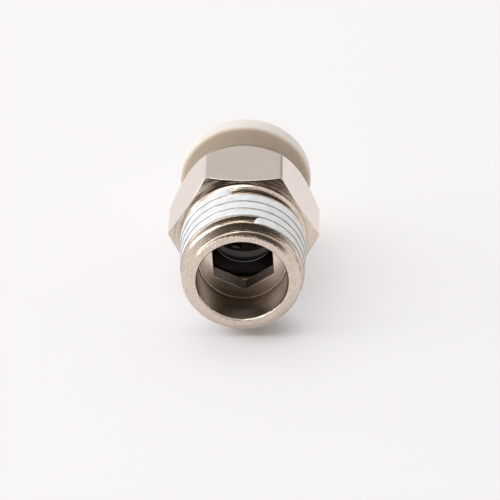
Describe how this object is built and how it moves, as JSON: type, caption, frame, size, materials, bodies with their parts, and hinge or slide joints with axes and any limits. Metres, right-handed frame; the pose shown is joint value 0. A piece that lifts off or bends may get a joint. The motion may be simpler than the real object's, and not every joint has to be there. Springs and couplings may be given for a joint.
{
  "type": "push to connect fitting",
  "caption": "Straight male push to connect fitting: taper pipe thread with sealant, hexagon body with a key socket in its bore, and a round button that releases the tube.",
  "frame": {"origin": "on the axis of thread and tube, halfway along the fitting", "axes": "+Y along the axis from the thread end to the tube end, +Z square to a flat of the hexagon, +X through two of its corners"},
  "size_m": [0.016, 0.0216, 0.014],
  "materials": {
    "nickel_plated_brass": "bright nickel plating over turned brass",
    "thread_sealant": "dried white sealant",
    "black_rubber": "smooth moulded rubber",
    "grey_plastic": "moulded, satin",
    "stainless_steel": "pressed from bright sheet",
    "cream_plastic": "moulded, satin"
  },
  "bodies": {
    "housing": {"body": "nickel_plated_brass", "thread_sealant": "thread_sealant", "seal": "black_rubber", "spacer_ring": "grey_plastic", "guide_ring": "nickel_plated_brass"},
    "gripper": {"collet": "grey_plastic", "chuck": "stainless_steel"},
    "button": {"release_button": "cream_plastic"}
  },
  "joints": [
    {"name": "release_press", "type": "slide", "parent": "housing", "child": "gripper", "axis": [0, -1, 0], "range_m": [0, 0.0013], "stiffness_N_per_m": 1000},
    {"name": "release_spin", "type": "hinge", "parent": "gripper", "child": "button", "pos_m": [0, 0.009, 0], "axis": [0, 1, 0], "continuous": true}
  ]
}
